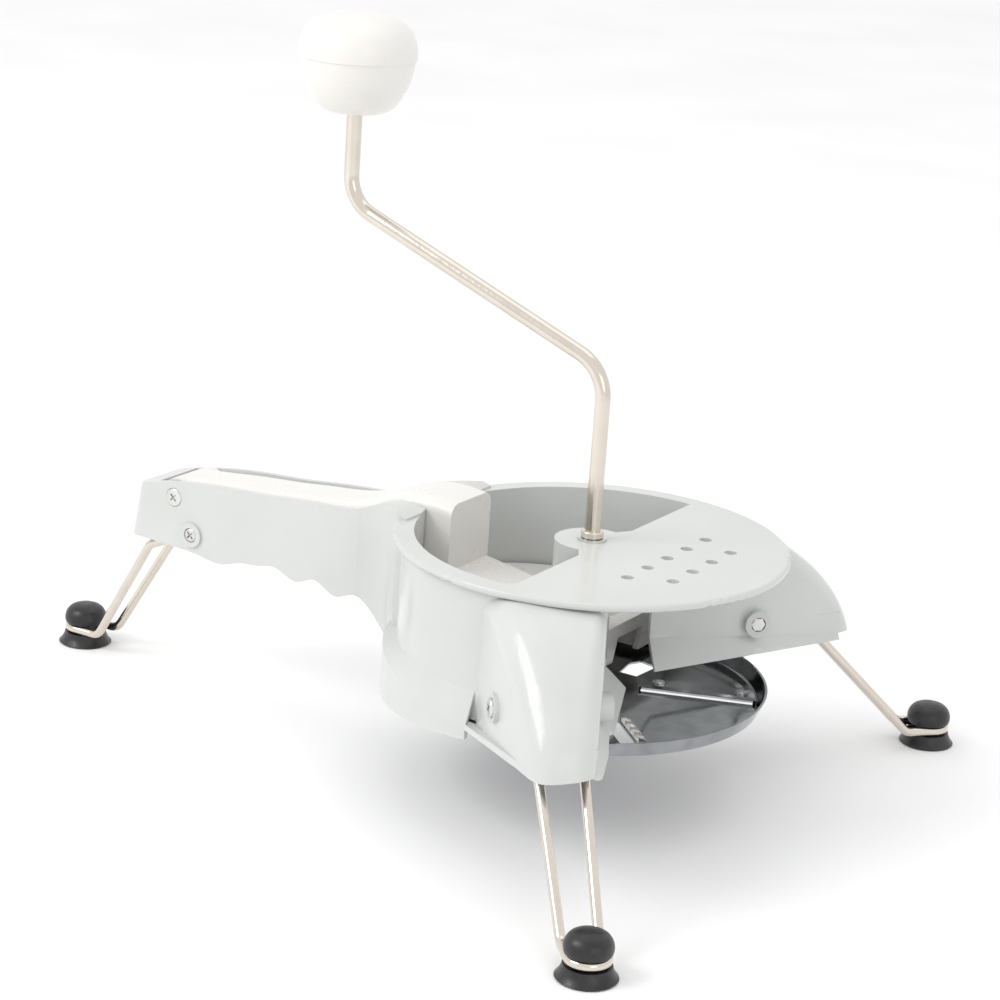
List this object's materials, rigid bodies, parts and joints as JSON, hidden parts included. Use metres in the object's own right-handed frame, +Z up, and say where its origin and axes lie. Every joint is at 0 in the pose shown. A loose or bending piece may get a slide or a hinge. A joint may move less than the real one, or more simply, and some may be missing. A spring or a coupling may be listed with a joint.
{
  "type": "rotary vegetable slicer",
  "caption": "Hand-cranked rotary slicer: round hopper with hinged presser in the handle, crank-driven cutting disc, and folding wire legs on rubber feet.",
  "frame": {"origin": "on the floor, under the middle of the slicer's overall length and width", "axes": "+Z up; +X from the handle end towards the outlet; +Y across, to the left seen from the handle"},
  "size_m": [0.3521, 0.298, 0.2839],
  "materials": {
    "grey_plastic": "glossy moulded plastic, pale grey-green",
    "cream_plastic": "satin-gloss moulded plastic, off-white",
    "nickel": "nickel-plated wire, warm tint",
    "steel": "plain steel",
    "mirror_steel": "polished stainless sheet",
    "black_rubber": "satin black rubber"
  },
  "bodies": {
    "frame": {"body_moulding": "grey_plastic", "shaft_bush": "steel", "presser_pivot_screw": "steel", "presser_pivot_nut": "steel", "rear_leg_screw": "steel", "rear_leg_nut": "steel", "front_leg_screws": "steel", "front_leg_nuts": "steel"},
    "crank": {"crank_rod": "nickel", "thrust_collar": "nickel", "retaining_clip": "steel", "drive_pin": "steel", "knob_push_nut": "steel", "cutting_disc": "mirror_steel", "disc_rim": "mirror_steel", "disc_hub": "grey_plastic", "disc_nut": "steel", "blade_rivets": "steel", "slicing_blade_a": "mirror_steel", "slicing_blade_b": "mirror_steel", "julienne_comb_a": "steel", "julienne_comb_b": "steel"},
    "knob": {"knob_lower": "cream_plastic", "knob_upper": "cream_plastic"},
    "presser": {"presser_foot": "cream_plastic", "presser_lever": "cream_plastic"},
    "leg_left": {"leg_wire_left": "nickel", "rubber_foot_left": "black_rubber"},
    "leg_right": {"leg_wire_right": "nickel", "rubber_foot_right": "black_rubber"},
    "leg_rear": {"leg_wire_rear": "nickel", "rubber_foot_rear": "black_rubber"}
  },
  "joints": [
    {"name": "crank_turn", "type": "hinge", "parent": "frame", "child": "crank", "pos_m": [0.07785, 0, 0.1], "axis": [0, 0, -1], "continuous": true},
    {"name": "knob_spin", "type": "hinge", "parent": "crank", "child": "knob", "pos_m": [-0.03965, 0, 0.26], "axis": [0, 0, 1], "continuous": true},
    {"name": "presser_lift", "type": "hinge", "parent": "frame", "child": "presser", "pos_m": [-0.10905, 0, 0.0798], "axis": [0, -1, 0], "range_deg": [0, 32]},
    {"name": "left_leg_fold", "type": "hinge", "parent": "frame", "child": "leg_left", "pos_m": [0.10496, 0.07467, 0.062], "axis": [-0.7254, 0.6884, 0], "range_deg": [0, 75]},
    {"name": "right_leg_fold", "type": "hinge", "parent": "frame", "child": "leg_right", "pos_m": [0.10496, -0.07467, 0.062], "axis": [0.7254, 0.6884, 0], "range_deg": [0, 75]},
    {"name": "rear_leg_fold", "type": "hinge", "parent": "frame", "child": "leg_rear", "pos_m": [-0.09915, 0, 0.0661], "axis": [0, -1, 0], "range_deg": [0, 105]}
  ]
}
